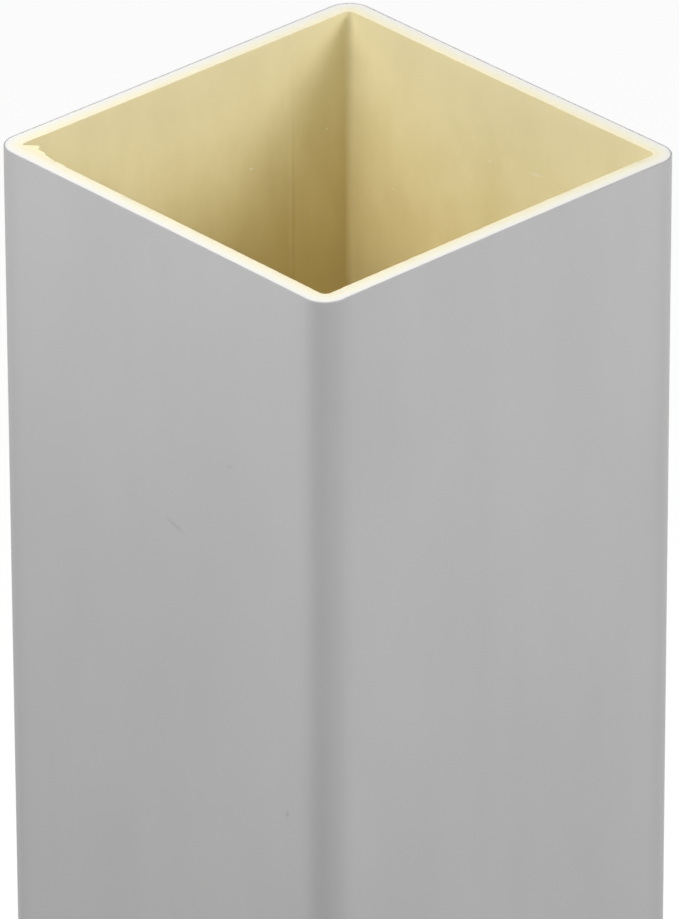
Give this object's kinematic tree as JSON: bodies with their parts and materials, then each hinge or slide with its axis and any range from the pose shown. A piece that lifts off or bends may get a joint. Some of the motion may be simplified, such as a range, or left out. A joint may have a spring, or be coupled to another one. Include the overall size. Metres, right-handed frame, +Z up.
{
  "type": "porch column wrap",
  "caption": "Square hollow column wrap of rigid vinyl with rounded corners, open at both ends, which slips over a porch post.",
  "frame": {"origin": "centre of the hollow section at the bottom cut end", "axes": "+Z up the length, the flat faces look along X and Y"},
  "size_m": [0.1016, 0.1016, 1],
  "materials": {
    "vinyl": "grey skin with a soft satin sheen over a white wall, cream on the inner side and at the saw cut"
  },
  "bodies": {
    "root": {"column_wrap": "vinyl"}
  },
  "joints": []
}
